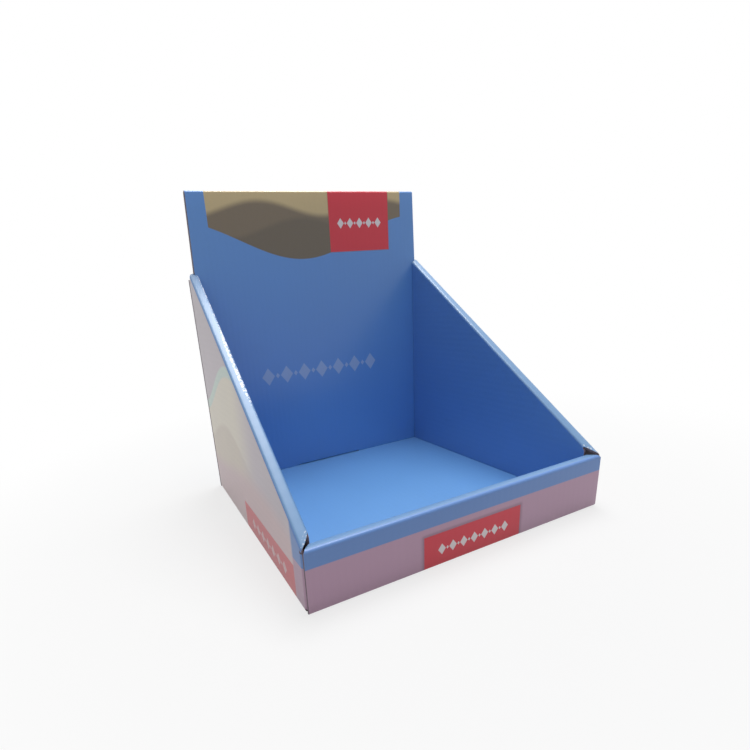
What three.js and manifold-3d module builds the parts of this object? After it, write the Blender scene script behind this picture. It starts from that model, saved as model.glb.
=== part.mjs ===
// Counter display box: one folded and rolled-over sheet of corrugated board.
// The sheet makes a base, a low double front wall, two sloping double side walls and a tall double back wall.
// The front wall's inner panel runs on as a floor that covers the base and locks under the back wall.
// Millimetres. X runs along the front, Y runs to the back, Z is up. The origin is under the middle of the base.

import * as THREE from "three";
import { mergeVertices } from "three/addons/utils/BufferGeometryUtils.js";
import Module from "manifold-3d";

const wasm = await Module();
wasm.setup();

// Outside sizes of the box
const tray_width = 300;
const tray_depth = 264;
const front_height = 51;
const side_height_at_header = 247;
const header_height = 329;
const header_shoulder = 6;
const header_top_inset = 2.5;
const shoulder_drop = 4;

// Board and folds
const board = 2;
const fold_radius = 2.5;
const rim_radius = 2.4;
const rim_crown = 0.15;
const layer_gap = 0.3;

// Empty space between the two layers of each wall
const front_hollow = 5.5;
const side_hollow = 6;
const header_hollow = 4;

// Mitred ends of the rims, which touch at a rounded crest and open to both sides of it
const crest_gap = 0.2;
const front_mitre_opening = 1.2;
const side_mitre_opening = 3.2;

// Side edges of the front panel, and the rounded corners at their tops
const front_panel_inset = 0.8;
const front_corner_radius = 3;

// Rounded rear ends of the side rims, which run on beside the header
const rim_end_past_header = 2.3;
const rim_end_radius = 4;

// Corner flaps hidden inside the front and back walls
const front_flap_length = 34;
const back_flap_length = 45;
const flap_top_drop = 6;
const flap_taper = 4;

// Tabs under the side walls' inner panels, and the slots that hold them in the base
const side_tab_width = 40;
const side_tab_spacing = 120;
const tab_taper = 3;
const tab_recess = 0.3;
const slot_clearance = 0.4;

// Tongue at the back of the floor, and the notch that it enters under the back wall's inner panel
const tongue_width = 88;
const tongue_reach = 3.5;
const tongue_taper = 2;
const notch_side_clearance = 1;
const notch_height_clearance = 1;

// Smoothness of the folds
const fold_segments = 6;

// Worked out from the sizes above
const half_width = tray_width / 2;
const front_y = -tray_depth / 2;
const back_y = tray_depth / 2;
const half_front = half_width - front_panel_inset;
const half_header = half_width - header_shoulder;
const half_header_top = half_header - header_top_inset;
const front_thickness = front_hollow + 2 * board;
const side_thickness = side_hollow + 2 * board;
const header_thickness = header_hollow + 2 * board;
const header_face_y = back_y - header_thickness;
const front_face_y = front_y + front_thickness;
const side_face_x = half_width - side_thickness;
const slope = (side_height_at_header - front_height) / (header_face_y - front_y);
const slope_angle = Math.atan(slope);
const rim_drop = rim_radius / Math.cos(slope_angle);
const panel_bottom = board + layer_gap;
const floor_top = panel_bottom + board;
const flap_bottom = board + fold_radius / 2;
const front_flap_y = front_y + board + layer_gap;
const back_flap_y = back_y - board - layer_gap;
const shoulder_height = side_height_at_header - shoulder_drop;
const overlap = 1;
const sweep_reach = tray_depth + side_height_at_header;

const axis_x = new THREE.Vector3(1, 0, 0);
const axis_y = new THREE.Vector3(0, 1, 0);
const axis_z = new THREE.Vector3(0, 0, 1);
const origin = new THREE.Vector3(0, 0, 0);

// Height of the sloping side rim over a place along the depth
function rim_height(y) {
  return front_height + slope * (y - front_y);
}

// A closed three.js geometry as a solid that can be joined and cut
function solid_from(geometry) {
  geometry.deleteAttribute("normal");
  geometry.deleteAttribute("uv");
  const merged = mergeVertices(geometry, 1e-4);
  const mesh = new wasm.Mesh({
    numProp: 3,
    vertProperties: new Float32Array(merged.attributes.position.array),
    triVerts: new Uint32Array(merged.index.array),
  });
  return new wasm.Manifold(mesh);
}

// A flat outline in the plane of two directions, swept along the third from start to end
function swept(shape, across, up, place, start, end) {
  const geometry = new THREE.ExtrudeGeometry(shape, {
    depth: end - start,
    bevelEnabled: false,
    curveSegments: fold_segments,
  });
  geometry.translate(0, 0, start);
  const along = new THREE.Vector3().crossVectors(across, up);
  const turn = new THREE.Matrix4().makeBasis(across, up, along);
  turn.setPosition(place);
  geometry.applyMatrix4(turn);
  return solid_from(geometry);
}

// Quarter circle about a centre, from the right to the top
function quarter_round(u, v, radius) {
  const curve = new THREE.EllipseCurve(u, v, radius, radius, 0, Math.PI / 2);
  return curve.getPoints(fold_segments).map((point) => [point.x, point.y]);
}

function outline(points) {
  return new THREE.Shape(points.map(([u, v]) => new THREE.Vector2(u, v)));
}

// Prisms with an outline seen from the front, from the side and from above
function front_prism(points, y0, y1) {
  return swept(outline(points), axis_x, axis_z, origin, -y1, -y0);
}

function side_prism(points, x0, x1) {
  return swept(outline(points), axis_y, axis_z, origin, x0, x1);
}

function plan_prism(points, z0, z1) {
  return swept(outline(points), axis_x, axis_y, origin, z0, z1);
}

function join(solids) {
  return solids.reduce((whole, solid) => whole.add(solid));
}

// Section of a board rolled over a wall's top: outer crease, slightly crowned rim, inner crease
function rim_section(thickness, radius) {
  const far = thickness - radius;
  const leg = radius + overlap;
  const bend = radius - board;
  const shape = new THREE.Shape();
  shape.moveTo(0, -leg);
  shape.lineTo(0, -radius);
  shape.absarc(radius, -radius, radius, Math.PI, Math.PI / 2, true);
  shape.quadraticCurveTo(thickness / 2, 2 * rim_crown, far, 0);
  shape.absarc(far, -radius, radius, Math.PI / 2, 0, true);
  shape.lineTo(thickness, -leg);
  shape.lineTo(thickness - board, -leg);
  shape.absarc(far, -radius, bend, 0, Math.PI / 2, false);
  shape.quadraticCurveTo(thickness / 2, 2 * rim_crown - board, radius, -board);
  shape.absarc(radius, -radius, bend, Math.PI / 2, Math.PI, false);
  shape.lineTo(board, -leg);
  shape.closePath();
  return shape;
}

// Section of a square fold, with a short stub of board on each side of it
function fold_section() {
  const stub = fold_radius + overlap;
  const bend = fold_radius - board;
  const shape = new THREE.Shape();
  shape.moveTo(stub, 0);
  shape.lineTo(stub, board);
  shape.lineTo(fold_radius, board);
  shape.absarc(fold_radius, fold_radius, bend, -Math.PI / 2, -Math.PI, true);
  shape.lineTo(board, stub);
  shape.lineTo(0, stub);
  shape.absarc(fold_radius, fold_radius, fold_radius, Math.PI, 1.5 * Math.PI, false);
  shape.closePath();
  return shape;
}

// A locking tab, tapered towards its end, hanging from the lower edge of an inner panel
function tab_points(middle, width) {
  const half = width / 2;
  return [
    [middle - half, panel_bottom + overlap],
    [middle - half, board],
    [middle - half + tab_taper, tab_recess],
    [middle + half - tab_taper, tab_recess],
    [middle + half, board],
    [middle + half, panel_bottom + overlap],
  ];
}

function slot(x0, x1, y0, y1) {
  const cut = slot_clearance;
  const points = [[x0 - cut, y0 - cut], [x1 + cut, y0 - cut], [x1 + cut, y1 + cut], [x0 - cut, y1 + cut]];
  return plan_prism(points, -overlap, board + overlap);
}

function between(a, b) {
  return a < b ? [a, b] : [b, a];
}

// Base, with the slots that take the tabs of the side walls' inner panels
function base_panel() {
  const x = half_width - fold_radius;
  const y = back_y - fold_radius;
  const half_tab = side_tab_width / 2;
  let panel = plan_prism([[-x, -y], [x, -y], [x, y], [-x, y]], 0, board);
  for (const end of [-1, 1]) {
    const tab_y = (end * side_tab_spacing) / 2;
    for (const side of [-1, 1]) {
      const [low_x, high_x] = between(side * side_face_x, side * (side_face_x + board));
      panel = panel.subtract(slot(low_x, high_x, tab_y - half_tab, tab_y + half_tab));
    }
  }
  return panel;
}

// Front wall: outer panel over the full width, mitred rim, inner panel that runs on as the floor
function front_wall() {
  const radius = Math.min(rim_radius, front_thickness / 2);
  const crown_place = new THREE.Vector3(0, front_y, front_height - rim_crown);
  const crown_ends = mitre_ends();
  const rim = swept(rim_section(front_thickness, radius), axis_y, axis_z, crown_place, -half_front, half_front);
  const mitred_rim = rim.intersect(plan_prism(crown_ends, 0, front_height + overlap));
  const leg_top = front_height - rim_crown - radius;
  const low = fold_radius;
  const outer_points = [[-half_front, low], [half_front, low], [half_front, leg_top], [-half_front, leg_top]];
  const square_face = front_prism(outer_points, front_y, front_y + board).add(mitred_rim);
  const rounded_face = square_face.subtract(beyond_front_corner(-1)).subtract(beyond_front_corner(1));
  const x = side_face_x - layer_gap;
  const inner_low = panel_bottom + fold_radius;
  const inner_points = [[-x, inner_low], [x, inner_low], [x, leg_top], [-x, leg_top]];
  const fold_place = new THREE.Vector3(0, front_y, 0);
  const floor_fold_place = new THREE.Vector3(0, front_face_y - board, panel_bottom);
  return join([
    swept(fold_section(), axis_y, axis_z, fold_place, -half_front, half_front),
    rounded_face,
    front_prism(inner_points, front_face_y - board, front_face_y),
    swept(fold_section(), axis_y, axis_z, floor_fold_place, -x, x),
    plan_prism(floor_points(x), panel_bottom, floor_top),
  ]);
}

// What is cut away to round one of the front panel's top corners
function beyond_front_corner(side) {
  const start_x = half_front - front_corner_radius;
  const start_z = front_height - front_corner_radius;
  const far_x = half_front + overlap;
  const far_z = front_height + overlap;
  const round_points = quarter_round(start_x, start_z, front_corner_radius);
  const points = [...round_points, [start_x, far_z], [far_x, far_z], [far_x, start_z]];
  return front_prism(points.map(([x, z]) => [side * x, z]), front_y - overlap, front_face_y + overlap);
}

// Plan of the floor: it fills the space between the side walls, with a tongue at the back
function floor_points(x) {
  const front = front_face_y - board + fold_radius;
  const back = header_face_y - layer_gap;
  const tongue = tongue_width / 2;
  const tip = header_face_y + tongue_reach;
  return [
    [-x, front],
    [x, front],
    [x, back],
    [tongue, back],
    [tongue - tongue_taper, tip],
    [tongue_taper - tongue, tip],
    [-tongue, back],
    [-x, back],
  ];
}

// Plan of the front rim: its ends follow the corner mitres with a rounded crest
function mitre_ends() {
  const middle_x = half_width - side_thickness / 2 - crest_gap;
  const middle_y = front_y + front_thickness / 2;
  const outer_x = half_width - front_mitre_opening;
  const inner_x = side_face_x - front_mitre_opening;
  const right_end = new THREE.QuadraticBezierCurve(
    new THREE.Vector2(outer_x, front_y),
    new THREE.Vector2(2 * middle_x - (outer_x + inner_x) / 2, middle_y),
    new THREE.Vector2(inner_x, front_face_y),
  );
  const end_points = right_end.getPoints(fold_segments * 2).map((point) => [point.x, point.y]);
  const right_points = [[outer_x, front_y - overlap], ...end_points, [inner_x, front_face_y + overlap]];
  const left_points = right_points.map(([x, y]) => [-x, y]).reverse();
  return [...right_points, ...left_points];
}

// Plan of a side rim: rounded mitre at the front, square stop against the header, round end beside the header
function side_rim_plan(side) {
  const outer_x = half_width + overlap;
  const inner_x = side_face_x - overlap;
  const middle_x = half_width - side_thickness / 2;
  const middle_y = front_y + front_thickness / 2 + crest_gap;
  const outer_end_y = front_y + side_mitre_opening;
  const inner_end_y = front_face_y + side_mitre_opening;
  const front_end = new THREE.QuadraticBezierCurve(
    new THREE.Vector2(half_width, outer_end_y),
    new THREE.Vector2(middle_x, 2 * middle_y - (outer_end_y + inner_end_y) / 2),
    new THREE.Vector2(side_face_x, inner_end_y),
  );
  const end_points = front_end.getPoints(fold_segments * 2).map((point) => [point.x, point.y]);
  const front_points = [[outer_x, outer_end_y], ...end_points, [inner_x, inner_end_y]];
  const stop_y = header_face_y - layer_gap;
  const beside_header_x = half_header + layer_gap;
  const end_y = header_face_y + rim_end_past_header;
  const round_x = half_width - rim_end_radius;
  const round_y = end_y - rim_end_radius;
  const round_points = quarter_round(round_x, round_y, rim_end_radius).reverse();
  const back_points = [[inner_x, stop_y], [beside_header_x, stop_y], [beside_header_x, end_y]];
  return [...front_points, ...back_points, ...round_points, [outer_x, round_y]].map(([x, y]) => [side * x, y]);
}

// Side wall: outer panel with its corner flaps, sloping rim, inner panel
function side_wall(side) {
  const inwards = new THREE.Vector3(-side, 0, 0);
  const radius = Math.min(rim_radius, side_thickness / 2);
  const rim_up = new THREE.Vector3(0, -Math.sin(slope_angle), Math.cos(slope_angle));
  const rim_place = new THREE.Vector3(side * half_width, front_y, front_height - rim_crown);
  const rim = swept(rim_section(side_thickness, radius), inwards, rim_up, rim_place, -sweep_reach, sweep_reach);
  const cut_rim = rim.intersect(plan_prism(side_rim_plan(side), 0, header_height));

  const leg_top = (y) => rim_height(y) - rim_crown - rim_drop;
  const outer_front = front_flap_y + fold_radius;
  const outer_back = back_flap_y - fold_radius;
  const outer_x = between(side * half_width, side * (half_width - board));
  const outer_points = [
    [outer_front, fold_radius],
    [outer_back, fold_radius],
    [outer_back, leg_top(outer_back)],
    [outer_front, leg_top(outer_front)],
  ];
  const inner_front = front_face_y + layer_gap;
  const inner_back = header_face_y - layer_gap;
  const inner_x = between(side * side_face_x, side * (side_face_x + board));
  const inner_points = [
    [inner_front, panel_bottom],
    [inner_back, panel_bottom],
    [inner_back, leg_top(inner_back)],
    [inner_front, leg_top(inner_front)],
  ];
  const fold_place = new THREE.Vector3(side * half_width, 0, 0);
  const fold_reach = Math.min(-outer_front, outer_back);
  const pieces = [
    swept(fold_section(), inwards, axis_z, fold_place, -fold_reach, fold_reach),
    side_prism(outer_points, ...outer_x),
    side_prism(inner_points, ...inner_x),
    cut_rim,
    corner_flap(side, front_flap_y, 1, front_flap_length, front_height - flap_top_drop),
    corner_flap(side, back_flap_y, -1, back_flap_length, leg_top(outer_back) - flap_top_drop),
  ];
  for (const end of [-1, 1]) {
    const middle = (end * side_tab_spacing) / 2;
    pieces.push(side_prism(tab_points(middle, side_tab_width), ...inner_x));
  }
  return join(pieces);
}

// Corner flap: a side panel's end folded round the corner and tucked inside the front or back wall
function corner_flap(side, outer_y, into, length, top) {
  const across = new THREE.Vector3(-side, 0, 0);
  const along = new THREE.Vector3(0, into, 0);
  const place = new THREE.Vector3(side * half_width, outer_y, 0);
  const turned_over = new THREE.Vector3().crossVectors(across, along).z < 0;
  const span = turned_over ? [-top, -flap_bottom] : [flap_bottom, top];
  const fold = swept(fold_section(), across, along, place, ...span);
  const root_x = side * (half_width - fold_radius);
  const end_x = side * (half_width - fold_radius - length);
  const points = [
    [root_x, flap_bottom],
    [end_x, flap_bottom + flap_taper],
    [end_x, top - flap_taper],
    [root_x, top],
  ];
  const low_y = Math.min(outer_y, outer_y + into * board);
  return fold.add(front_prism(points, low_y, low_y + board));
}

// Back wall: outer panel with shoulders, header folded over at its top, notched inner panel down to the base
function back_wall() {
  const radius = Math.min(rim_radius, header_thickness / 2);
  const into = new THREE.Vector3(0, -1, 0);
  const fold_place = new THREE.Vector3(0, back_y, 0);
  const top_place = new THREE.Vector3(0, back_y, header_height - rim_crown);
  const leg_top = header_height - rim_crown - radius;
  const header_points = [
    [half_header, shoulder_height],
    [half_header_top, leg_top - overlap],
    [half_header_top, leg_top],
    [-half_header_top, leg_top],
    [-half_header_top, leg_top - overlap],
    [-half_header, shoulder_height],
  ];
  const outer_points = [
    [-half_width, fold_radius],
    [half_width, fold_radius],
    [half_width, shoulder_height],
    ...header_points,
    [-half_width, shoulder_height],
  ];
  const notch = tongue_width / 2 + notch_side_clearance;
  const notch_top = floor_top + notch_height_clearance;
  const inner_points = [
    [-half_header, panel_bottom],
    [-notch, panel_bottom],
    [-notch, notch_top],
    [notch, notch_top],
    [notch, panel_bottom],
    [half_header, panel_bottom],
    ...header_points,
  ];
  return join([
    swept(fold_section(), into, axis_z, fold_place, -half_width, half_width),
    front_prism(outer_points, back_y - board, back_y),
    front_prism(inner_points, header_face_y, header_face_y + board),
    swept(rim_section(header_thickness, radius), into, axis_z, top_place, -half_header_top, half_header_top),
  ]);
}

function mesh_from(name, solid, material) {
  const { vertProperties, triVerts } = solid.getMesh();
  const geometry = new THREE.BufferGeometry();
  geometry.setAttribute("position", new THREE.BufferAttribute(vertProperties, 3));
  geometry.setIndex(new THREE.BufferAttribute(triVerts, 1));
  geometry.computeVertexNormals();
  const mesh = new THREE.Mesh(geometry, material);
  mesh.name = name;
  return mesh;
}

const printed_board = new THREE.MeshStandardMaterial({ color: 0x5f80b0, roughness: 0.4, metalness: 0 });
const folded_sheet = join([base_panel(), front_wall(), side_wall(-1), side_wall(1), back_wall()]);

const display_box = new THREE.Group();
display_box.add(mesh_from("folded_box", folded_sheet, printed_board));

export default display_box;
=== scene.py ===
import math

import bmesh
import bpy
from mathutils import Matrix, Vector


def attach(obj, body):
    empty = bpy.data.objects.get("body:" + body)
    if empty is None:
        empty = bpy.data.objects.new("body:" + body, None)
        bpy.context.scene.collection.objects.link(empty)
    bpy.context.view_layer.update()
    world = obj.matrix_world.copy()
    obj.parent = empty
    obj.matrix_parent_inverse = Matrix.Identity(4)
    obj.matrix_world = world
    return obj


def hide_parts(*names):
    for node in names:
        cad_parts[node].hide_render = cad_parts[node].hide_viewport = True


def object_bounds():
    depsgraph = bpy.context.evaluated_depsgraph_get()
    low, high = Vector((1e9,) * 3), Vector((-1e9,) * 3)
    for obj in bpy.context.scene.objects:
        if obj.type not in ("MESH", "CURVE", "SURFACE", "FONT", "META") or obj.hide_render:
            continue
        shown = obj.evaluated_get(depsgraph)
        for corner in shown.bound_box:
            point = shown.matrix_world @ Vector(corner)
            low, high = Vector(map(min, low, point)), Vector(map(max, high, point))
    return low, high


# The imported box
# One folded sheet of printed corrugated board, in metres, with its front towards -Y.
# Every wall below takes its outer size from this box.
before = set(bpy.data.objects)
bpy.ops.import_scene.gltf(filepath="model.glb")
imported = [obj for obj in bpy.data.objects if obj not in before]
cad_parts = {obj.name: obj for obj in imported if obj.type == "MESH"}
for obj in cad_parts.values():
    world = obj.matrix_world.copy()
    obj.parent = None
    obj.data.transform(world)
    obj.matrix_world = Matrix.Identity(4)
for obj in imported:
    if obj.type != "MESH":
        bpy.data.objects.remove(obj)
MM = 0.001
cad_low, cad_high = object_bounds()
half_width = cad_high.x
front_y = cad_low.y
back_y = cad_high.y
top_z = cad_high.z


# Camera
# A phone close to the box, turned to its left front corner and held a little crooked.
# The picture was cut out of a wider one, so the lens is shifted.
camera_place = Vector((-234.9, -360.2, 208.9)) * MM
camera_turn = math.radians(21.62)
camera_fall = math.radians(16.85)
camera_roll = math.radians(-5.54)
camera_lens = 20.24
camera_shift = (0.1029, 0.0745)

camera_data = bpy.data.cameras.new("photo_camera")
camera_data.sensor_width = 36.0
camera_data.lens = camera_lens
camera_data.shift_x, camera_data.shift_y = camera_shift
camera_data.clip_start = 0.01
camera_data.clip_end = 20.0
camera = bpy.data.objects.new("photo_camera", camera_data)
bpy.context.scene.collection.objects.link(camera)
aim = Matrix.Rotation(-camera_turn, 4, "Z") @ Matrix.Rotation(math.pi / 2 - camera_fall, 4, "X")
camera.matrix_world = Matrix.Translation(camera_place) @ aim @ Matrix.Rotation(camera_roll, 4, "Z")
bpy.context.scene.camera = camera
bpy.context.scene.view_settings.view_transform = "Standard"


# Studio
# A pale floor that fades into a white surround, under a broad lamp overhead and a weak one in front.
# The camera and the gloss see the surround as white; the walls are lit by the lamps and a grey sky.
sky_level = 0.29
floor_half_size = 6.0
floor_white = (0.62, 0.62, 0.62, 1.0)
floor_glow_near = 0.74
floor_fade_start = 0.15
floor_fade_end = 0.60
pure_white = (1.0, 1.0, 1.0, 1.0)


def math_node(tree, operation, first, second=None, third=None, clamp=False):
    node = tree.nodes.new("ShaderNodeMath")
    node.operation = operation
    node.use_clamp = clamp
    for index, value in enumerate((first, second, third)):
        if value is None:
            continue
        if isinstance(value, (int, float)):
            node.inputs[index].default_value = value
        else:
            tree.links.new(value, node.inputs[index])
    return node.outputs[0]


def seen_share(tree):
    """1 for rays that the camera, gloss or glass sends out, 0 for rays that carry light to a surface."""
    path = tree.nodes.new("ShaderNodeLightPath").outputs
    share = math_node(tree, "ADD", path["Is Camera Ray"], path["Is Glossy Ray"])
    return math_node(tree, "ADD", share, path["Is Transmission Ray"], clamp=True)


world = bpy.data.worlds.new("white_surround")
bpy.context.scene.world = world
world.use_nodes = True
sky = world.node_tree
sky.nodes.clear()
sky_light = sky.nodes.new("ShaderNodeBackground")
sky_light.inputs["Color"].default_value = pure_white
sky_light.inputs["Strength"].default_value = sky_level
sky_seen = sky.nodes.new("ShaderNodeBackground")
sky_seen.inputs["Color"].default_value = pure_white
sky_seen.inputs["Strength"].default_value = 1.0
sky_choice = sky.nodes.new("ShaderNodeMixShader")
sky_out = sky.nodes.new("ShaderNodeOutputWorld")
sky.links.new(seen_share(sky), sky_choice.inputs[0])
sky.links.new(sky_light.outputs[0], sky_choice.inputs[1])
sky.links.new(sky_seen.outputs[0], sky_choice.inputs[2])
sky.links.new(sky_choice.outputs[0], sky_out.inputs["Surface"])

floor_bm = bmesh.new()
bmesh.ops.create_grid(floor_bm, x_segments=2, y_segments=2, size=floor_half_size)
floor_mesh = bpy.data.meshes.new("studio_floor")
floor_bm.to_mesh(floor_mesh)
floor_bm.free()
studio_floor = bpy.data.objects.new("studio_floor", floor_mesh)
bpy.context.scene.collection.objects.link(studio_floor)
floor_paint = bpy.data.materials.new("studio_floor_white")
floor_paint.use_nodes = True
floor_tree = floor_paint.node_tree
floor_tree.nodes.clear()
floor_matt = floor_tree.nodes.new("ShaderNodeBsdfDiffuse")
floor_matt.inputs["Color"].default_value = floor_white
floor_glow = floor_tree.nodes.new("ShaderNodeEmission")
floor_place = floor_tree.nodes.new("ShaderNodeTexCoord")
floor_distance = floor_tree.nodes.new("ShaderNodeVectorMath")
floor_distance.operation = "LENGTH"
floor_fade = floor_tree.nodes.new("ShaderNodeMapRange")
floor_fade.interpolation_type = "SMOOTHSTEP"
floor_fade.inputs["From Min"].default_value = floor_fade_start
floor_fade.inputs["From Max"].default_value = floor_fade_end
floor_fade.inputs["To Min"].default_value = floor_glow_near
floor_fade.inputs["To Max"].default_value = 1.0
floor_tree.links.new(floor_place.outputs["Object"], floor_distance.inputs[0])
floor_tree.links.new(floor_distance.outputs["Value"], floor_fade.inputs["Value"])
floor_share = math_node(floor_tree, "MULTIPLY", seen_share(floor_tree), floor_fade.outputs["Result"])
floor_choice = floor_tree.nodes.new("ShaderNodeMixShader")
floor_out = floor_tree.nodes.new("ShaderNodeOutputMaterial")
floor_tree.links.new(floor_share, floor_choice.inputs[0])
floor_tree.links.new(floor_matt.outputs[0], floor_choice.inputs[1])
floor_tree.links.new(floor_glow.outputs[0], floor_choice.inputs[2])
floor_tree.links.new(floor_choice.outputs[0], floor_out.inputs["Surface"])
floor_mesh.materials.append(floor_paint)


def soft_lamp(name, place, target, size, power):
    lamp_data = bpy.data.lights.new(name, "AREA")
    lamp_data.shape = "RECTANGLE"
    lamp_data.size, lamp_data.size_y = size
    lamp_data.energy = power
    lamp = bpy.data.objects.new(name, lamp_data)
    bpy.context.scene.collection.objects.link(lamp)
    lamp.location = place
    lamp.rotation_euler = (Vector(target) - Vector(place)).to_track_quat("-Z", "Y").to_euler()


soft_lamp("overhead_lamp", place=(0.24, 0.22, 1.5), target=(0.0, 0.0, 0.1), size=(0.8, 1.0), power=26.5)
soft_lamp("front_lamp", place=(-1.0, -1.1, 0.9), target=(0.0, 0.0, 0.12), size=(0.8, 0.8), power=1.8)


# Base
# The bottom panel of the corrugated sheet, which the box stands on. Its printed side is down and left white.
# It has a slot for each tab of the side walls' inner panels.
board = 2.0 * MM
fold_radius = 2.5 * MM
layer_gap = 0.3 * MM
side_thickness = 10.0 * MM
side_face_x = half_width - side_thickness
side_tab_width = 40.0 * MM
side_tab_spacing = 120.0 * MM
slot_clearance = 0.4 * MM
paper_white = (0.80, 0.79, 0.76, 1.0)
liner_grey = (0.400, 0.360, 0.410, 1.0)
board_grey = (0.270, 0.205, 0.235, 1.0)
# Painted shade: the dark inside the open flutes of a cut edge.
core_painted_shade = (0.115, 0.095, 0.120, 1.0)
core_edge = (0.24, 0.36)
fibre_gaps = (0.25, 0.6)
flute_pitch = 6.5 * MM
flute_tone = 0.04
fleck_tone = 0.35
cloud_roughness = 0.12
peel_height = 0.25
fleck_height = 0.06
relief_depth = 0.05 * MM
sharp_angle = math.radians(35)


def group_socket(group, name, kind, direction, value=None):
    socket = group.interface.new_socket(name=name, in_out=direction, socket_type=kind)
    if value is not None:
        socket.default_value = value


def smooth_step(tree, value, low, high):
    node = tree.nodes.new("ShaderNodeMapRange")
    node.interpolation_type = "SMOOTHSTEP"
    for socket, given in (("Value", value), ("From Min", low), ("From Max", high)):
        if isinstance(given, (int, float)):
            node.inputs[socket].default_value = given
        else:
            tree.links.new(given, node.inputs[socket])
    return node.outputs["Result"]


def over(tree, mask, under, top):
    node = tree.nodes.new("ShaderNodeMix")
    node.data_type = "RGBA"
    for socket, given in ((node.inputs[0], mask), (node.inputs[6], under), (node.inputs[7], top)):
        if isinstance(given, (int, float, tuple)):
            socket.default_value = given
        else:
            tree.links.new(given, socket)
    return node.outputs[2]


def object_axes(tree):
    place = tree.nodes.new("ShaderNodeTexCoord")
    split = tree.nodes.new("ShaderNodeSeparateXYZ")
    tree.links.new(place.outputs["Object"], split.inputs[0])
    return place.outputs["Object"], split.outputs


def noise(tree, place, scale, detail=2.0, roughness=0.5):
    node = tree.nodes.new("ShaderNodeTexNoise")
    node.inputs["Scale"].default_value = scale
    node.inputs["Detail"].default_value = detail
    node.inputs["Roughness"].default_value = roughness
    tree.links.new(place, node.inputs["Vector"])
    return node.outputs[0]


def make_sheet_surface():
    """Ink on liner over fluting: small changes of tone and gloss, and the washboard relief of the flutes."""
    group = bpy.data.node_groups.new("sheet_surface", "ShaderNodeTree")
    group_socket(group, "Ink", "NodeSocketColor", "INPUT", (0.5, 0.5, 0.5, 1.0))
    group_socket(group, "Across Flutes", "NodeSocketFloat", "INPUT", 0.0)
    group_socket(group, "Tone Change", "NodeSocketFloat", "INPUT", 0.05)
    group_socket(group, "Gloss Roughness", "NodeSocketFloat", "INPUT", 0.3)
    group_socket(group, "Flute Relief", "NodeSocketFloat", "INPUT", 0.35)
    group_socket(group, "Color", "NodeSocketColor", "OUTPUT")
    group_socket(group, "Roughness", "NodeSocketFloat", "OUTPUT")
    group_socket(group, "Height", "NodeSocketFloat", "OUTPUT")
    given = group.nodes.new("NodeGroupInput").outputs
    result = group.nodes.new("NodeGroupOutput").inputs
    place, _ = object_axes(group)
    cloud = noise(group, place, scale=9.0, detail=3.0)
    fleck = noise(group, place, scale=900.0)
    peel = noise(group, place, scale=260.0)
    phase = math_node(group, "MULTIPLY", given["Across Flutes"], math.tau / flute_pitch)
    flute = math_node(group, "SINE", phase)
    tone = math_node(group, "SUBTRACT", cloud, 0.5)
    tone = math_node(group, "MULTIPLY_ADD", flute, flute_tone, tone)
    tone = math_node(group, "MULTIPLY_ADD", math_node(group, "SUBTRACT", fleck, 0.5), fleck_tone, tone)
    level = math_node(group, "MULTIPLY_ADD", tone, given["Tone Change"], 1.0)
    tint = group.nodes.new("ShaderNodeVectorMath")
    tint.operation = "SCALE"
    group.links.new(given["Ink"], tint.inputs[0])
    group.links.new(level, tint.inputs["Scale"])
    group.links.new(tint.outputs[0], result["Color"])
    rough = math_node(group, "MULTIPLY_ADD", cloud, cloud_roughness, given["Gloss Roughness"])
    group.links.new(rough, result["Roughness"])
    height = math_node(group, "MULTIPLY", flute, given["Flute Relief"])
    height = math_node(group, "MULTIPLY_ADD", peel, peel_height, height)
    height = math_node(group, "MULTIPLY_ADD", fleck, fleck_height, height)
    group.links.new(height, result["Height"])
    return group


sheet_surface = make_sheet_surface()


def finish_material(
    material, ink, across, gloss=0.3, coat=0.6, film=0.25, tone=0.10, relief=0.35, extra_height=None
):
    """Puts the shared sheet surface under a Principled shader with a clear glossy film on top."""
    tree = material.node_tree
    surface = tree.nodes.new("ShaderNodeGroup")
    surface.node_tree = sheet_surface
    surface.inputs["Tone Change"].default_value = tone
    surface.inputs["Gloss Roughness"].default_value = gloss
    surface.inputs["Flute Relief"].default_value = relief
    if isinstance(ink, tuple):
        surface.inputs["Ink"].default_value = ink
    else:
        tree.links.new(ink, surface.inputs["Ink"])
    tree.links.new(across, surface.inputs["Across Flutes"])
    shader = tree.nodes.new("ShaderNodeBsdfPrincipled")
    shader.inputs["Coat Weight"].default_value = coat
    shader.inputs["Coat Roughness"].default_value = film
    bump = tree.nodes.new("ShaderNodeBump")
    bump.inputs["Distance"].default_value = relief_depth
    height = surface.outputs["Height"]
    if extra_height is not None:
        height = math_node(tree, "ADD", height, extra_height)
    tree.links.new(height, bump.inputs["Height"])
    tree.links.new(bump.outputs[0], shader.inputs["Normal"])
    tree.links.new(surface.outputs["Color"], shader.inputs["Base Color"])
    tree.links.new(surface.outputs["Roughness"], shader.inputs["Roughness"])
    out = tree.nodes.new("ShaderNodeOutputMaterial")
    tree.links.new(shader.outputs[0], out.inputs["Surface"])
    return material


def blank_material(name):
    material = bpy.data.materials.new(name)
    material.use_nodes = True
    material.node_tree.nodes.clear()
    return material


def make_liner():
    """The unprinted reverse of the sheet, grey recycled paper with the flutes showing faintly."""
    material = blank_material("plain_liner")
    _, axes = object_axes(material.node_tree)
    return finish_material(material, liner_grey, axes["X"], gloss=0.7, coat=0.0, tone=0.12, relief=0.6)


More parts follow.
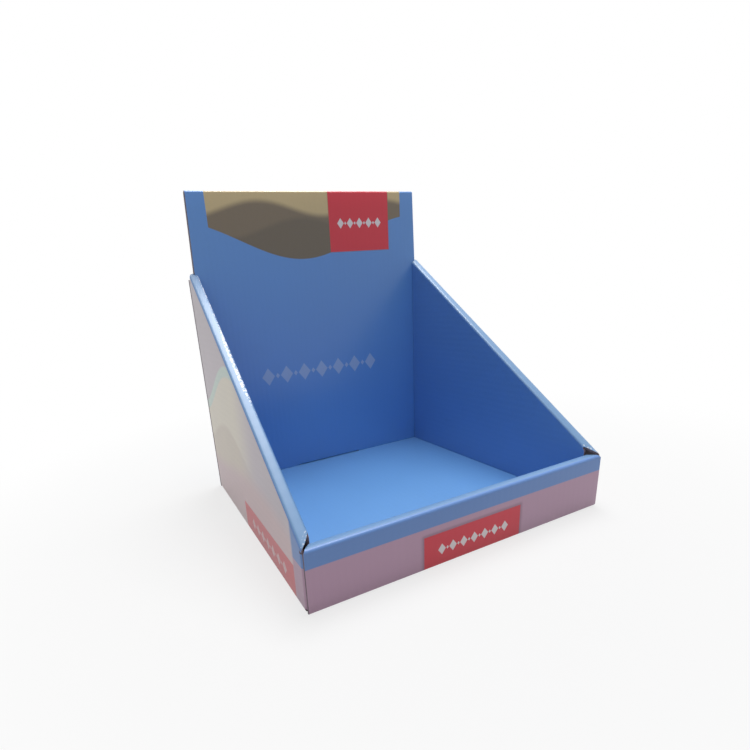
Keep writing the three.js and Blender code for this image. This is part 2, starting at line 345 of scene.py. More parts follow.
def make_raw_edge():
    """A die-cut edge of the board: two liners with the hollow core and its wavy medium between them, the
    hollows painted dark as shade.
    """
    material = blank_material("raw_board_edge")
    tree = material.node_tree
    place, axes = object_axes(tree)
    fibre = noise(tree, place, scale=1500.0, detail=3.0, roughness=0.7)
    across = tree.nodes.new("ShaderNodeUVMap")
    across.uv_map = "edge_depth"
    split = tree.nodes.new("ShaderNodeSeparateXYZ")
    tree.links.new(across.outputs[0], split.inputs[0])
    depth = math_node(tree, "ABSOLUTE", math_node(tree, "SUBTRACT", split.outputs["Y"], 0.5))
    # Painted shade: the core's hollows are darkened, broken up by the fibre noise.
    core = math_node(tree, "SUBTRACT", 1.0, smooth_step(tree, depth, *core_edge))
    core = math_node(tree, "MULTIPLY", core, smooth_step(tree, fibre, *fibre_gaps))
    colour = over(tree, core, board_grey, core_painted_shade)
    return finish_material(material, colour, axes["Y"], gloss=0.8, coat=0.0, tone=0.25, relief=0.0)


liner = make_liner()
raw_edge = make_raw_edge()


def sheet_piece(name, bm, prints, choose_print):
    """Gives a printed surface its board thickness, with liner behind it and raw edges all round."""
    for face in bm.faces:
        face.material_index = choose_print(face)
        face.smooth = True
    add_thickness(bm, len(prints))
    mesh = bpy.data.meshes.new(name)
    bm.to_mesh(mesh)
    bm.free()
    for material in (*prints, liner, raw_edge):
        mesh.materials.append(material)
    mesh.set_sharp_from_angle(angle=sharp_angle)
    piece = bpy.data.objects.new(name, mesh)
    bpy.context.scene.collection.objects.link(piece)
    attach(piece, "root")
    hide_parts("folded_box")


def add_thickness(bm, liner_index):
    """Copies the printed surface inwards by the board and closes the edges between the two."""
    bm.normal_update()
    depth_map = bm.loops.layers.uv.new("edge_depth")
    printed = list(bm.faces)
    borders = [edge for edge in bm.edges if edge.is_boundary]
    copied = bmesh.ops.duplicate(bm, geom=printed + list(bm.edges) + list(bm.verts))
    twin = copied["vert_map"]
    for vert in {vert for face in printed for vert in face.verts}:
        twin[vert].co = vert.co - vert.normal * board * vert.calc_shell_factor()
    behind = [item for item in copied["geom"] if isinstance(item, bmesh.types.BMFace)]
    bmesh.ops.reverse_faces(bm, faces=behind)
    for face in behind:
        face.material_index = liner_index
    for edge in borders:
        loop = edge.link_loops[0]
        near, far = loop.vert, loop.link_loop_next.vert
        wall = bm.faces.new((far, near, twin[near], twin[far]))
        wall.material_index = liner_index + 1
        wall.smooth = False
        for corner, depth in zip(wall.loops, (0.0, 0.0, 1.0, 1.0)):
            corner[depth_map].uv = (0.0, depth)


def cut_across(bm, place, direction):
    """Cuts the whole sheet along one plane."""
    everything = bm.faces[:] + bm.edges[:] + bm.verts[:]
    bmesh.ops.bisect_plane(bm, geom=everything, plane_co=place, plane_no=direction)


def base_sheet():
    bm = bmesh.new()
    bmesh.ops.create_grid(bm, x_segments=1, y_segments=1, size=1.0)
    bmesh.ops.scale(bm, vec=(half_width - fold_radius, back_y - fold_radius, 1.0), verts=bm.verts)
    half_tab = side_tab_width / 2 + slot_clearance
    slot_sides = (side_face_x - slot_clearance, side_face_x + board + slot_clearance)
    cuts = [((side * x, 0, 0), (1, 0, 0)) for side in (-1, 1) for x in slot_sides]
    for end in (-1, 1):
        for part in (-1, 1):
            cuts.append(((0, end * side_tab_spacing / 2 + part * half_tab, 0), (0, 1, 0)))
    for place, direction in cuts:
        cut_across(bm, place, direction)
    slots = []
    for face in bm.faces:
        middle = face.calc_center_median()
        in_x = slot_sides[0] < abs(middle.x) < slot_sides[1]
        in_y = abs(abs(middle.y) - side_tab_spacing / 2) < half_tab
        if in_x and in_y:
            slots.append(face)
    bmesh.ops.delete(bm, geom=slots, context="FACES")
    bmesh.ops.reverse_faces(bm, faces=bm.faces)
    return bm


def make_underside():
    """The printed face of the base, left white and a little glossy."""
    material = blank_material("white_underside")
    _, axes = object_axes(material.node_tree)
    return finish_material(material, paper_white, axes["X"], gloss=0.4, coat=0.3)


sheet_piece("base_panel", base_sheet(), [make_underside()], lambda face: 0)


# Side walls
# Each outer panel of printed board rises from the base, rolls over a sloping rim and comes down again
# as the inner panel. Its ends are folded round the corners and tucked inside the front and back walls.
front_height = 51.0 * MM
side_height_at_header = 247.0 * MM
front_thickness = 9.5 * MM
header_thickness = 8.0 * MM
header_shoulder = 6.0 * MM
rim_radius = 2.4 * MM
rim_crown = 0.15 * MM
crest_gap = 0.2 * MM
side_mitre_opening = 1.8 * MM
rim_end_past_header = 2.3 * MM
rim_end_radius = 4.0 * MM
front_flap_length = 34.0 * MM
back_flap_length = 45.0 * MM
front_flap_drop = 3.2 * MM
back_flap_drop = 6.0 * MM
flap_taper = 4.0 * MM
tab_recess = 0.3 * MM
tab_taper = 3.0 * MM
arc_steps = 6
crown_steps = 4
wall_columns = 48
DOWN = Vector((0, 0, -1))

front_face_y = front_y + front_thickness
header_face_y = back_y - header_thickness
front_flap_y = front_y + board + layer_gap
back_flap_y = back_y - board - layer_gap
slope = (side_height_at_header - front_height) / (header_face_y - front_y)
slope_cos = math.cos(math.atan(slope))

stripe_ink = (0.120, 0.250, 0.570, 1.0)
rim_ink = (0.145, 0.280, 0.490, 1.0)
# The inner panels' blue is darker than the floor's, as painted shade on the walls' shaded inner faces.
inner_ink_painted_shade = (0.095, 0.230, 0.540, 1.0)
mauve_ink = (0.480, 0.300, 0.420, 1.0)
red_ink = (0.640, 0.018, 0.045, 1.0)
cream_ink = (0.800, 0.740, 0.620, 1.0)
sand_ink = (0.700, 0.620, 0.520, 1.0)
mint_ink = (0.620, 0.740, 0.680, 1.0)
pink_grey_ink = (0.600, 0.540, 0.590, 1.0)
pink_ink = (0.680, 0.520, 0.540, 1.0)
pale_ink = (0.780, 0.720, 0.740, 1.0)
# Painted highlight: the pale glint on the crazed film at the rims' creases and front tips.
painted_glint_ink = (0.860, 0.900, 0.960, 1.0)
stripe_low_z = 36.5 * MM
stripe_softness = 0.4 * MM
label_high_z = 29.0 * MM
label_softness = 0.4 * MM
past_edge = 10.0 * MM
side_label_edges = (-112.0 * MM, 12.0 * MM, -past_edge, label_high_z)
side_label_strength = 0.85
side_row_strength = 0.6
corner_wrap_y = -112.0 * MM
corner_wrap_softness = 2.0 * MM
rim_margin = 1.6 * MM
rim_margin_softness = 0.8 * MM
rim_ink_depths = (3.2 * MM, 1.4 * MM)

# Each printed wave: its height, its swing, its length for one radian, its start angle and its softness.
mint_wave = (134.0 * MM, 26.0 * MM, 42.0 * MM, 1.2, 1.5 * MM)
cream_wave = (124.0 * MM, 26.0 * MM, 42.0 * MM, 1.2, 1.5 * MM)
sand_wave = (78.0 * MM, 18.0 * MM, 36.0 * MM, 0.2, 4.0 * MM)
pink_wave = (52.0 * MM, 10.0 * MM, 50.0 * MM, 2.2, 12.0 * MM)
grey_fade = (20.0 * MM, -50.0 * MM)

# A lozenge's shift, half width and half height in pitches; a row's middle, level, pitch and count.
large_lozenge = (0.5, 0.34, 0.44)
small_lozenge = (0.0, 0.11, 0.14)
lozenge_softness = 0.07
row_end_gap = 0.12
side_row = (-52.0 * MM, 15.0 * MM, 13.0 * MM, 7)

# The crazed film along the rims' inner creases carries a painted highlight: how readily that highlight breaks
# up, and where along the left rim its band widens and fades.
glint_threshold = 0.76
glint_threshold_drop = 0.34
break_softness = 0.06
band_full = 0.6
crinkle_spread = 4.0
crinkle_height = 2.0
crease_band_middle = side_face_x + 0.9 * MM
crease_band_reach = 0.9 * MM
wide_band_shift = 1.2 * MM
wide_band_reach = 1.5 * MM
wide_band_back = (58.0 * MM, 28.0 * MM)
wide_band_front = (-36.0 * MM, -12.0 * MM)
glint_fade = (-50.0 * MM, -10.0 * MM)
least_glint = 0.08
added_glint = 0.78
right_rim_glint = 0.45
# The painted highlight at the rims' front tips: where it lies, its reach and amount, and its strength.
tip_glint_line = front_y + half_width + 1.0 * MM
tip_glint_values = {"Reach": 3.0 * MM, "Amount": 0.65}
tip_glint_strength = 0.6


def rim_height(y):
    return front_height + slope * (y - front_y)


def arc(centre, radius, start, end):
    """Points of a fold, with its two ends, as offsets in the plane of the section."""
    points = []
    for step in range(arc_steps + 1):
        angle = math.radians(start + (end - start) * step / arc_steps)
        points.append((centre[0] + radius * math.cos(angle), centre[1] + radius * math.sin(angle)))
    return points


def rim_profile(thickness):
    """Outer crease, crowned rim and inner crease: inward offset and height over the crest line."""
    radius = min(rim_radius, thickness / 2)
    outer = arc((radius, -radius), radius, 180, 90)
    inner = arc((thickness - radius, -radius), radius, 90, 0)
    crown = []
    for step in range(1, crown_steps):
        share = step / crown_steps
        across = radius + (thickness - 2 * radius) * share
        crown.append((across, 4 * rim_crown * share * (1 - share)))
    return [*outer, *crown, *inner]


def swept_sheet(rows, columns, locate, outwards):
    """A grid whose rows follow a section and whose columns run along the wall, put in place by locate.
    The printed side of its first row faces outwards."""
    bm = bmesh.new()
    bmesh.ops.create_grid(bm, x_segments=columns, y_segments=len(rows) - 1, size=1.0)
    for vert in bm.verts:
        row = round((vert.co.y + 1) / 2 * (len(rows) - 1))
        share = (vert.co.x + 1) / 2
        vert.co = locate(rows[row], share)
    bm.normal_update()
    first_row = [face for face in bm.faces if face.index < columns]
    if sum(face.normal.dot(outwards) for face in first_row) < 0:
        bmesh.ops.reverse_faces(bm, faces=bm.faces)
    return bm


def mitre_line(outer_end, inner_end, crest, share):
    """One end of a rim in plan: straight between its two ends, bowed out to the crest in its middle."""
    straight = outer_end + (inner_end - outer_end) * share
    bow = 4 * share * (1 - share)
    return straight + (crest - (outer_end + inner_end) / 2) * bow


def side_rim_front(inward):
    crest = front_y + front_thickness / 2 + crest_gap
    share = min(inward / side_thickness, 1.0)
    return mitre_line(front_y + side_mitre_opening, front_face_y + side_mitre_opening, crest, share)


def side_rim_back(inward):
    """Stops against the header, and beside it ends in a rounded outer corner."""
    if inward > header_shoulder - layer_gap:
        return header_face_y - layer_gap
    from_corner = max(rim_end_radius - inward, 0.0)
    end_y = header_face_y + rim_end_past_header
    return end_y - rim_end_radius + math.sqrt(rim_end_radius**2 - from_corner**2)


def side_wall_rows():
    """Section of a side wall: (inward offset, rule for height, value, front end, back end)."""
    outer_front = front_flap_y + fold_radius
    outer_back = back_flap_y - fold_radius
    rows = []
    for inward, height in arc((fold_radius, fold_radius), fold_radius, 270, 180):
        rows.append((inward, "level", height, outer_front, outer_back))
    for share in (0.15, 0.35, 0.6, 0.85, 0.985):
        rows.append((0.0, "outer", share, outer_front, outer_back))
    for inward, drop in rim_profile(side_thickness):
        rows.append((inward, "rim", drop / slope_cos, side_rim_front(inward), side_rim_back(inward)))
    inner_front = front_face_y + layer_gap
    inner_back = header_face_y - layer_gap
    for share in (0.985, 0.7, 0.4, 0.0):
        rows.append((side_thickness, "inner", share, inner_front, inner_back))
    return rows


def side_wall_sheet(side):
    panel_low = fold_radius
    inner_low = board + layer_gap
    rim_drop = rim_radius / slope_cos + rim_crown

    def locate(row, share):
        inward, rule, value, front_end, back_end = row
        y = front_end + (back_end - front_end) * share
        if rule == "level":
            z = value
        elif rule == "rim":
            z = rim_height(y) - rim_crown + value
        else:
            low = panel_low if rule == "outer" else inner_low
            z = low + (rim_height(y) - rim_drop - low) * value
        return Vector((side * (half_width - inward), y, z))

    bm = swept_sheet(side_wall_rows(), wall_columns, locate, DOWN)
    add_corner_flap(bm, side, front_flap_y, 1, front_flap_length, front_height - front_flap_drop)
    back_top = rim_height(back_flap_y - fold_radius) - rim_drop - back_flap_drop
    add_corner_flap(bm, side, back_flap_y, -1, back_flap_length, back_top)
    for end in (-1, 1):
        add_side_tab(bm, side, end * side_tab_spacing / 2)
    return bm


def join_sheet(bm, other):
    mesh = bpy.data.meshes.new("part_of_sheet")
    other.to_mesh(mesh)
    other.free()
    bm.from_mesh(mesh)
    bpy.data.meshes.remove(mesh)


def add_corner_flap(bm, side, outer_y, into, length, top):
    """A panel's end folded round the corner, with its free end tapered."""
    low = board + fold_radius / 2
    path = []
    for inward, along in arc((fold_radius, fold_radius), fold_radius, 180, 270):
        path.append((inward, along, 0.0))
    path.append((fold_radius + length, 0.0, flap_taper))

    def locate(row, share):
        inward, along, taper = row
        z = low + taper + (top - low - 2 * taper) * share
        return Vector((side * (half_width - inward), outer_y + into * along, z))

    join_sheet(bm, swept_sheet(path, 4, locate, Vector((side, 0, 0))))


def add_side_tab(bm, side, middle):
    half_tab = side_tab_width / 2
    rows = [(board + layer_gap, half_tab), (board, half_tab), (tab_recess, half_tab - tab_taper)]

    def locate(row, share):
        z, half = row
        return Vector((side * side_face_x, middle + half * (2 * share - 1), z))

    join_sheet(bm, swept_sheet(rows, 2, locate, Vector((-side, 0, 0))))


def make_printed_wave():
    """Mask of the area under a soft wave: 1 below the line Base + Swing * sin(Along / Length + Start)."""
    group = bpy.data.node_groups.new("printed_wave", "ShaderNodeTree")
    for name in ("Along", "Up", "Base", "Swing", "Length", "Start", "Softness"):
        group_socket(group, name, "NodeSocketFloat", "INPUT", 0.01)
    group_socket(group, "Mask", "NodeSocketFloat", "OUTPUT")
    given = group.nodes.new("NodeGroupInput").outputs
    result = group.nodes.new("NodeGroupOutput").inputs
    angle = math_node(group, "DIVIDE", given["Along"], given["Length"])
    bow = math_node(group, "SINE", math_node(group, "ADD", angle, given["Start"]))
    line = math_node(group, "MULTIPLY_ADD", bow, given["Swing"], given["Base"])
    share = math_node(group, "DIVIDE", math_node(group, "SUBTRACT", line, given["Up"]), given["Softness"])
    group.links.new(smooth_step(group, share, -1.0, 1.0), result["Mask"])
    return group


def make_printed_label():
    """Mask of a rectangle: 1 inside it, falling to 0 over Softness outside its edges."""
    group = bpy.data.node_groups.new("printed_label", "ShaderNodeTree")
    for name in ("Along", "Up", "Left", "Right", "Low", "High", "Softness"):
        group_socket(group, name, "NodeSocketFloat", "INPUT", 0.0)
    group_socket(group, "Mask", "NodeSocketFloat", "OUTPUT")
    given = group.nodes.new("NodeGroupInput").outputs
    result = group.nodes.new("NodeGroupOutput").inputs
    mask = None
    for first, second in (("Along", "Left"), ("Right", "Along"), ("Up", "Low"), ("High", "Up")):
        inside = math_node(group, "SUBTRACT", given[first], given[second])
        side = smooth_step(group, math_node(group, "DIVIDE", inside, given["Softness"]), -1.0, 0.0)
        mask = side if mask is None else math_node(group, "MULTIPLY", mask, side)
    group.links.new(mask, result["Mask"])
    return group


def make_lozenge_row():
    """Mask of a row of large lozenges with small ones between them, centred on Middle and Level."""
    group = bpy.data.node_groups.new("lozenge_row", "ShaderNodeTree")
    for name in ("Along", "Up", "Middle", "Level", "Pitch", "Half Length"):
        group_socket(group, name, "NodeSocketFloat", "INPUT", 0.01)
    group_socket(group, "Mask", "NodeSocketFloat", "OUTPUT")
    given = group.nodes.new("NodeGroupInput").outputs
    result = group.nodes.new("NodeGroupOutput").inputs
    along = math_node(group, "SUBTRACT", given["Along"], given["Middle"])
    steps = math_node(group, "DIVIDE", along, given["Pitch"])
    up = math_node(group, "SUBTRACT", given["Up"], given["Level"])
    tall = math_node(group, "ABSOLUTE", math_node(group, "DIVIDE", up, given["Pitch"]))
    mask = None
    for shift, half_wide, half_tall in (large_lozenge, small_lozenge):
        turn = math_node(group, "FRACT", math_node(group, "ADD", steps, shift))
        wide = math_node(group, "ABSOLUTE", math_node(group, "SUBTRACT", turn, 0.5))
        height_share = math_node(group, "DIVIDE", tall, half_tall)
        reach = math_node(group, "MULTIPLY_ADD", wide, 1 / half_wide, height_share)
        outside = smooth_step(group, reach, 1 - lozenge_softness, 1 + lozenge_softness)
        lozenge = math_node(group, "SUBTRACT", 1.0, outside)
        mask = lozenge if mask is None else math_node(group, "MAXIMUM", mask, lozenge)
    inside = math_node(group, "LESS_THAN", math_node(group, "ABSOLUTE", along), given["Half Length"])
    group.links.new(math_node(group, "MULTIPLY", mask, inside), result["Mask"])
    return group


def make_crease_glint_and_crinkle():
    """Crazed film over a fold. Its first output is a painted highlight, the pale broken band along the fold;
    Crinkle is the relief on both sides.
    """
    group = bpy.data.node_groups.new("crease_glint_and_crinkle", "ShaderNodeTree")
    group_socket(group, "Distance", "NodeSocketFloat", "INPUT", 1.0)
    group_socket(group, "Reach", "NodeSocketFloat", "INPUT", 0.001)
    group_socket(group, "Amount", "NodeSocketFloat", "INPUT", 0.5)
    group_socket(group, "Painted Glint", "NodeSocketFloat", "OUTPUT")
    group_socket(group, "Crinkle", "NodeSocketFloat", "OUTPUT")
    given = group.nodes.new("NodeGroupInput").outputs
    result = group.nodes.new("NodeGroupOutput").inputs
    place, _ = object_axes(group)
    breaks = noise(group, place, scale=430.0, detail=3.0, roughness=0.65)
    creases = noise(group, place, scale=420.0, detail=3.0, roughness=0.6)
    share = math_node(group, "DIVIDE", given["Distance"], given["Reach"])
    threshold = math_node(group, "MULTIPLY_ADD", given["Amount"], -glint_threshold_drop, glint_threshold)
    broken = smooth_step(group, breaks, threshold, math_node(group, "ADD", threshold, break_softness))
    band = smooth_step(group, share, 1.0, band_full)
    group.links.new(math_node(group, "MULTIPLY", band, broken), result["Painted Glint"])
    beside = smooth_step(group, share, crinkle_spread, 1.0)
    group.links.new(math_node(group, "MULTIPLY", beside, creases), result["Crinkle"])
    return group


printed_wave = make_printed_wave()
printed_label = make_printed_label()
lozenge_row = make_lozenge_row()
crease_glint_and_crinkle = make_crease_glint_and_crinkle()


def place_group(tree, group, linked, values):
    node = tree.nodes.new("ShaderNodeGroup")
    node.node_tree = group
    for name, socket in linked.items():
        tree.links.new(socket, node.inputs[name])
    for name, value in values.items():
        node.inputs[name].default_value = value
    return node.outputs


def label_mask(tree, along, up, edges, softness=label_softness):
    left, right, low, high = edges
    values = {"Left": left, "Right": right, "Low": low, "High": high, "Softness": softness}
    return place_group(tree, printed_label, {"Along": along, "Up": up}, values)["Mask"]


def wave_mask(tree, along, up, wave):
    base, swing, length, start, softness = wave
    values = {"Base": base, "Swing": swing, "Length": length, "Start": start, "Softness": softness}
    return place_group(tree, printed_wave, {"Along": along, "Up": up}, values)["Mask"]


def lozenge_mask(tree, along, up, row):
    """The row stops short of the small lozenges that would be cut through at its two ends."""
    middle, level, pitch, count = row
    half_length = pitch * (count / 2 - row_end_gap)
    values = {"Middle": middle, "Level": level, "Pitch": pitch, "Half Length": half_length}
    return place_group(tree, lozenge_row, {"Along": along, "Up": up}, values)["Mask"]


def shadowed_label(tree, along, up, edges, shadow, under):
    """A red label over a soft dark shadow, which is given by its softness, strength and ink."""
    softness, strength, shadow_ink = shadow
    mask = math_node(tree, "MULTIPLY", label_mask(tree, along, up, edges, softness), strength)
    ink = over(tree, mask, under, shadow_ink)
    return over(tree, label_mask(tree, along, up, edges), ink, red_ink)


def stripe_over_mauve(tree, z):
    stripe = smooth_step(tree, z, stripe_low_z - stripe_softness, stripe_low_z + stripe_softness)
    return over(tree, stripe, mauve_ink, stripe_ink)


def depth_below_rim(tree, y, z):
    rim_line = math_node(tree, "MULTIPLY_ADD", y, slope, front_height - slope * front_y)
    return math_node(tree, "SUBTRACT", rim_line, z)


def make_side_print():
    """Outer face of a side wall: soft pale waves, a plain red label low at the front, blue along the rim."""
    material = blank_material("side_print")
    tree = material.node_tree
    _, axes = object_axes(tree)
    y, z = axes["Y"], axes["Z"]
    ink = pink_grey_ink
    for wave, wave_ink in ((mint_wave, mint_ink), (cream_wave, cream_ink), (sand_wave, sand_ink)):
        ink = over(tree, wave_mask(tree, y, z, wave), ink, wave_ink)
    ink = over(tree, smooth_step(tree, y, *grey_fade), ink, pink_grey_ink)
    ink = over(tree, wave_mask(tree, y, z, pink_wave), ink, pink_ink)
    label = label_mask(tree, y, z, side_label_edges)
    ink = over(tree, math_node(tree, "MULTIPLY", label, side_label_strength), ink, red_ink)
    row = lozenge_mask(tree, y, z, side_row)
    ink = over(tree, math_node(tree, "MULTIPLY", row, side_row_strength), ink, pale_ink)
    wrap = smooth_step(tree, y, corner_wrap_y + corner_wrap_softness, corner_wrap_y - corner_wrap_softness)
    ink = over(tree, wrap, ink, stripe_over_mauve(tree, z))
    below = depth_below_rim(tree, y, z)
    margin = smooth_step(tree, below, rim_margin + rim_margin_softness, rim_margin)
    ink = over(tree, margin, ink, stripe_ink)
    return finish_material(material, ink, z, gloss=0.38, coat=0.2, tone=0.22)


def make_side_blue():
    """Blue on a side wall's rim and inner panel, darker on the inner panel as painted shade. The film is
    crazed along the rims' inner creases, and a painted highlight breaks along each crease, strongest on the
    left rim, and at the rims' front tips.
    """
    material = blank_material("side_blue")
    tree = material.node_tree
    _, axes = object_axes(tree)
    y, z = axes["Y"], axes["Z"]
    across = math_node(tree, "ABSOLUTE", axes["X"])
    left_side = math_node(tree, "LESS_THAN", axes["X"], 0.0)
    on_rim = smooth_step(tree, depth_below_rim(tree, y, z), *rim_ink_depths)
    ahead_of_back = smooth_step(tree, y, *wide_band_back)
    behind_front = smooth_step(tree, y, *wide_band_front)
    wide = math_node(tree, "MULTIPLY", math_node(tree, "MULTIPLY", ahead_of_back, behind_front), left_side)
    middle = math_node(tree, "MULTIPLY_ADD", wide, wide_band_shift, crease_band_middle)
    distance = math_node(tree, "ABSOLUTE", math_node(tree, "SUBTRACT", across, middle))
    reach = math_node(tree, "MULTIPLY_ADD", wide, wide_band_reach, crease_band_reach)
    unfaded = smooth_step(tree, y, *glint_fade)
    amount = math_node(tree, "MULTIPLY_ADD", unfaded, added_glint, least_glint)
    rim_share = math_node(tree, "MULTIPLY_ADD", left_side, 1 - right_rim_glint, right_rim_glint)
    amount = math_node(tree, "MULTIPLY", amount, rim_share)
    glint_and_crinkle = place_group(tree, crease_glint_and_crinkle, {"Distance": distance, "Reach": reach, "Amount": amount}, {})
    # The painted highlight's broken band, kept to the rim.
    fleck = math_node(tree, "MULTIPLY", glint_and_crinkle["Painted Glint"], on_rim)
    # Below the rim, the inner panels take the darker blue that is painted shade.
    ink = over(tree, fleck, over(tree, on_rim, inner_ink_painted_shade, rim_ink), painted_glint_ink)
    # A painted highlight at each rim's front tip, by the mitre.
    from_mitre = math_node(tree, "SUBTRACT", math_node(tree, "ADD", y, across), tip_glint_line)
    tip_glint = place_group(tree, crease_glint_and_crinkle, {"Distance": from_mitre}, tip_glint_values)
    tip_share = math_node(tree, "MULTIPLY", on_rim, tip_glint_strength)
    ink = over(tree, math_node(tree, "MULTIPLY", tip_glint["Painted Glint"], tip_share), ink, painted_glint_ink)
    crinkle_share = math_node(tree, "MULTIPLY", on_rim, crinkle_height)
    crinkle = math_node(tree, "MULTIPLY", glint_and_crinkle["Crinkle"], crinkle_share)
    return finish_material(material, ink, z, gloss=0.42, coat=0.5, film=0.38, extra_height=crinkle)


side_print = make_side_print()
side_blue = make_side_blue()
fold_reach = fold_radius + 0.1 * MM


def choose_side_print(face):
    middle = face.calc_center_median()
    below_rim = middle.z < rim_height(middle.y) - rim_radius / 2
    return 0 if abs(middle.x) > half_width - fold_reach and below_rim else 1


for side, name in ((-1, "side_wall_left"), (1, "side_wall_right")):
    sheet_piece(name, side_wall_sheet(side), [side_print, side_blue], choose_side_print)


# Front wall and floor
# The outer panel spans the whole front, with rounded top corners and its raw edges showing at the sides.
# It rolls over a mitred rim, and its inner panel runs on as the blue floor that covers the base.
front_panel_inset = 0.8 * MM
front_corner_radius = 3.0 * MM
front_mitre_opening = 0.6 * MM
half_front = half_width - front_panel_inset
tongue_half = 44.0 * MM
tongue_reach = 3.5 * MM
tongue_taper = 2.0 * MM
floor_rows = 10
floor_fold = 0.5 * MM
inner_half = side_face_x - layer_gap
floor_top = 2 * board + layer_gap
blue_ink = (0.120, 0.300, 0.600, 1.0)
plum_ink = (0.230, 0.120, 0.190, 1.0)
front_label_edges = (-50.0 * MM, 50.0 * MM, -past_edge, label_high_z)
front_label_shadow = (4.0 * MM, 0.75, plum_ink)
front_row = (0.0, 14.5 * MM, 11.0 * MM, 7)


def rounded_half(z):
    """Half the front panel's width at a height, less what its rounded top corners take away."""
    over_start = max(z - (front_height - front_corner_radius), 0.0)
    return half_front - front_corner_radius + math.sqrt(max(front_corner_radius**2 - over_start**2, 0.0))


def front_rim_half(inward, z):
    crest = half_width - side_thickness / 2 - crest_gap
    share = min(inward / front_thickness, 1.0)
    outer_end = half_width - front_mitre_opening
    mitred = mitre_line(outer_end, outer_end - side_thickness, crest, share)
    return min(mitred, rounded_half(z))


def front_wall_rows():
    """Section of the front wall and floor: (y, z, half length)."""
    rows = []
    for inward, height in arc((fold_radius, fold_radius), fold_radius, 270, 180):
        rows.append((front_y + inward, height, half_front))
    panel_top = front_height - rim_crown - rim_radius
    for share in (0.25, 0.5, 0.75, 0.97):
        z = fold_radius + (panel_top - fold_radius) * share
        rows.append((front_y, z, rounded_half(z)))
    for inward, drop in rim_profile(front_thickness):
        z = front_height - rim_crown + drop
        rows.append((front_y + inward, z, front_rim_half(inward, z)))
    inner_low = floor_top + floor_fold
    for share in (0.97, 0.66, 0.33, 0.0):
        rows.append((front_face_y, inner_low + (panel_top - inner_low) * share, inner_half))
    floor_front = front_face_y + floor_fold
    for forward, up in arc((0.0, 0.0), floor_fold, 180, 270)[1:]:
        rows.append((floor_front + forward, inner_low + up, inner_half))
    floor_back = header_face_y - layer_gap
    for row in range(1, floor_rows + 1):
        rows.append((floor_front + (floor_back - floor_front) * row / floor_rows, floor_top, inner_half))
    rows.append((header_face_y + tongue_reach, floor_top, inner_half))
    return rows


def cut_columns(bm, half):
    """Cuts the whole sheet twice, at the distance half to the left of its middle and to the right."""
    for side in (-1, 1):
        cut_across(bm, (side * half, 0, 0), (1, 0, 0))


def front_wall_sheet():
    """The wall and its floor. Of the last row, which enters the notch, only the tapered tongue is kept."""

    def locate(row, share):
        y, z, half = row
        return Vector((half * (2 * share - 1), y, z))

    bm = swept_sheet(front_wall_rows(), wall_columns, locate, DOWN)
    cut_columns(bm, tongue_half)
    spare = []
    for face in bm.faces:
        middle = face.calc_center_median()
        if middle.y > header_face_y and abs(middle.x) > tongue_half:
            spare.append(face)
    bmesh.ops.delete(bm, geom=spare, context="FACES")
    tip = [vert for vert in bm.verts if vert.co.y > header_face_y + tongue_reach / 2]
    bmesh.ops.scale(bm, verts=tip, vec=(1 - tongue_taper / tongue_half, 1.0, 1.0))
    return bm


def make_front_print():
    """Outer face of the front wall: blue stripe under the rim, mauve below it, a red label with lozenges."""
    material = blank_material("front_print")
    tree = material.node_tree
    _, axes = object_axes(tree)
    x, z = axes["X"], axes["Z"]
    ink = stripe_over_mauve(tree, z)
    ink = shadowed_label(tree, x, z, front_label_edges, front_label_shadow, ink)
    ink = over(tree, lozenge_mask(tree, x, z, front_row), ink, pale_ink)
    return finish_material(material, ink, x, gloss=0.42, coat=0.25)


def make_front_blue():
    """Blue flood on the front wall's rim, inner panel and floor, a little greyer on the rim."""
    material = blank_material("front_blue")
    tree = material.node_tree
    _, axes = object_axes(tree)
    start, full = rim_ink_depths
    on_rim = smooth_step(tree, axes["Z"], front_height - start, front_height - full)
    ink = over(tree, on_rim, blue_ink, rim_ink)
    return finish_material(material, ink, axes["X"], gloss=0.34, coat=0.5, film=0.32)


sheet_piece(
    "front_wall_and_floor",
    front_wall_sheet(),
    [make_front_print(), make_front_blue()],
    lambda face: 0 if face.calc_center_median().y < front_y + fold_reach else 1,
)


# Back wall and header
# The tall outer panel of printed board has a shoulder behind each side rim. It folds over at the header's top
# and comes down in front as one blue panel, notched at the bottom for the floor's tongue.
header_top_inset = 2.5 * MM
shoulder_drop = 4.0 * MM
half_header = half_width - header_shoulder
shoulder_height = side_height_at_header - shoulder_drop
header_leg_top = top_z - rim_crown - rim_radius
notch_clearance = 1.0 * MM
notch_half = tongue_half + notch_clearance
notch_top = floor_top + notch_clearance
header_columns = 48
tan_ink = (0.560, 0.440, 0.240, 1.0)
olive_ink = (0.170, 0.130, 0.085, 1.0)
brown_ink = (0.120, 0.095, 0.065, 1.0)
panel_ink = (0.105, 0.275, 0.640, 1.0)
pale_blue_ink = (0.300, 0.430, 0.680, 1.0)
header_label_edges = (22.0 * MM, 104.0 * MM, 263.0 * MM, top_z + past_edge)
header_label_shadow = (1.5 * MM, 0.6, brown_ink)
header_field_edges = (-122.0 * MM, 122.0 * MM, 240.0 * MM, top_z + past_edge)
header_field_softness = 0.5 * MM
header_low_wave = (279.0 * MM, 22.0 * MM, 48.0 * MM, -1.3, 0.5 * MM)
olive_wave = (291.0 * MM, 10.0 * MM, 30.0 * MM, 2.0, 4.0 * MM)
tan_wave = (311.0 * MM, 8.0 * MM, 26.0 * MM, 4.1, 4.0 * MM)
header_row = (63.0 * MM, 294.0 * MM, 13.0 * MM, 5)
panel_row = (-2.0 * MM, 126.0 * MM, 24.0 * MM, 7)


def header_half(z):
    """Half the header's width: it narrows a little from the shoulders to the top."""
    share = (z - shoulder_height) / (header_leg_top - shoulder_height)
    return half_header - header_top_inset * min(max(share, 0.0), 1.0)


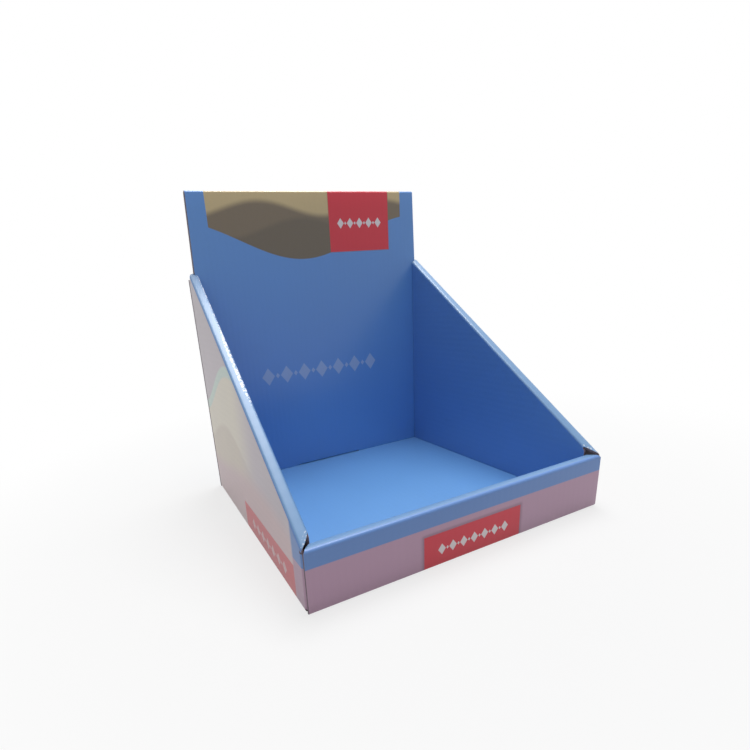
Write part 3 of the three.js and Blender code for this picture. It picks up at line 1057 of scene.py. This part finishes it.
def back_wall_rows():
    """Section of the back wall: (y, z) from the base, up the back, over the header and down in front."""
    rows = []
    for inward, height in arc((fold_radius, fold_radius), fold_radius, 270, 180):
        rows.append((back_y - inward, height))
    for share in (0.2, 0.4, 0.6, 0.8, 1.0):
        rows.append((back_y, fold_radius + (shoulder_height - fold_radius) * share))
    for share in (0.35, 0.7):
        rows.append((back_y, shoulder_height + (header_leg_top - shoulder_height) * share))
    for inward, drop in rim_profile(header_thickness):
        rows.append((back_y - inward, top_z - rim_crown + drop))
    for share in (0.95, 0.85):
        rows.append((header_face_y, header_leg_top * share))
    for share in (1.0, 0.85, 0.7, 0.55, 0.4, 0.25, 0.1, 0.0):
        rows.append((header_face_y, notch_top + (shoulder_height - notch_top) * share))
    rows.append((header_face_y, board + layer_gap))
    return rows


def back_wall_sheet():
    """The header's columns, with one more column on each side that is kept only for the shoulders."""
    columns = header_columns + 2

    def locate(row, share):
        y, z = row
        column = round(share * columns)
        if column in (0, columns):
            x = half_width * (2 * share - 1)
        else:
            x = header_half(z) * (2 * (column - 1) / header_columns - 1)
        return Vector((x, y, z))

    bm = swept_sheet(back_wall_rows(), columns, locate, DOWN)
    spare = []
    for face in bm.faces:
        middle = face.calc_center_median()
        beside = abs(middle.x) > header_half(middle.z)
        behind = middle.y > back_y - header_thickness / 2
        if beside and not (behind and middle.z < shoulder_height):
            spare.append(face)
    bmesh.ops.delete(bm, geom=spare, context="FACES")
    cut_columns(bm, notch_half)
    notch = []
    for face in bm.faces:
        middle = face.calc_center_median()
        in_front = middle.y < back_y - header_thickness / 2
        if in_front and middle.z < notch_top and abs(middle.x) < notch_half:
            notch.append(face)
    bmesh.ops.delete(bm, geom=notch, context="FACES")
    return bm


def make_header_print():
    """Blue panel with rolling tan, olive and brown bands across the header and a row of pale lozenges."""
    material = blank_material("header_print")
    tree = material.node_tree
    _, axes = object_axes(tree)
    x, z = axes["X"], axes["Z"]
    ink = brown_ink
    for wave, band_ink in ((olive_wave, olive_ink), (tan_wave, tan_ink)):
        above = math_node(tree, "SUBTRACT", 1.0, wave_mask(tree, x, z, wave))
        ink = over(tree, above, ink, band_ink)
    margins = label_mask(tree, x, z, header_field_edges, header_field_softness)
    above_low_line = math_node(tree, "SUBTRACT", 1.0, wave_mask(tree, x, z, header_low_wave))
    ink = over(tree, math_node(tree, "MULTIPLY", margins, above_low_line), panel_ink, ink)
    ink = shadowed_label(tree, x, z, header_label_edges, header_label_shadow, ink)
    ink = over(tree, lozenge_mask(tree, x, z, header_row), ink, pale_ink)
    ink = over(tree, lozenge_mask(tree, x, z, panel_row), ink, pale_blue_ink)
    return finish_material(material, ink, x, gloss=0.34, coat=0.4)


def make_outer_back():
    """Blue flood on the back of the box, where the picture shows nothing."""
    material = blank_material("outer_back_blue")
    _, axes = object_axes(material.node_tree)
    return finish_material(material, blue_ink, axes["X"], gloss=0.30, coat=0.5)


sheet_piece(
    "back_wall_and_header",
    back_wall_sheet(),
    [make_header_print(), make_outer_back()],
    lambda face: 0 if face.calc_center_median().y < back_y - rim_radius else 1,
)
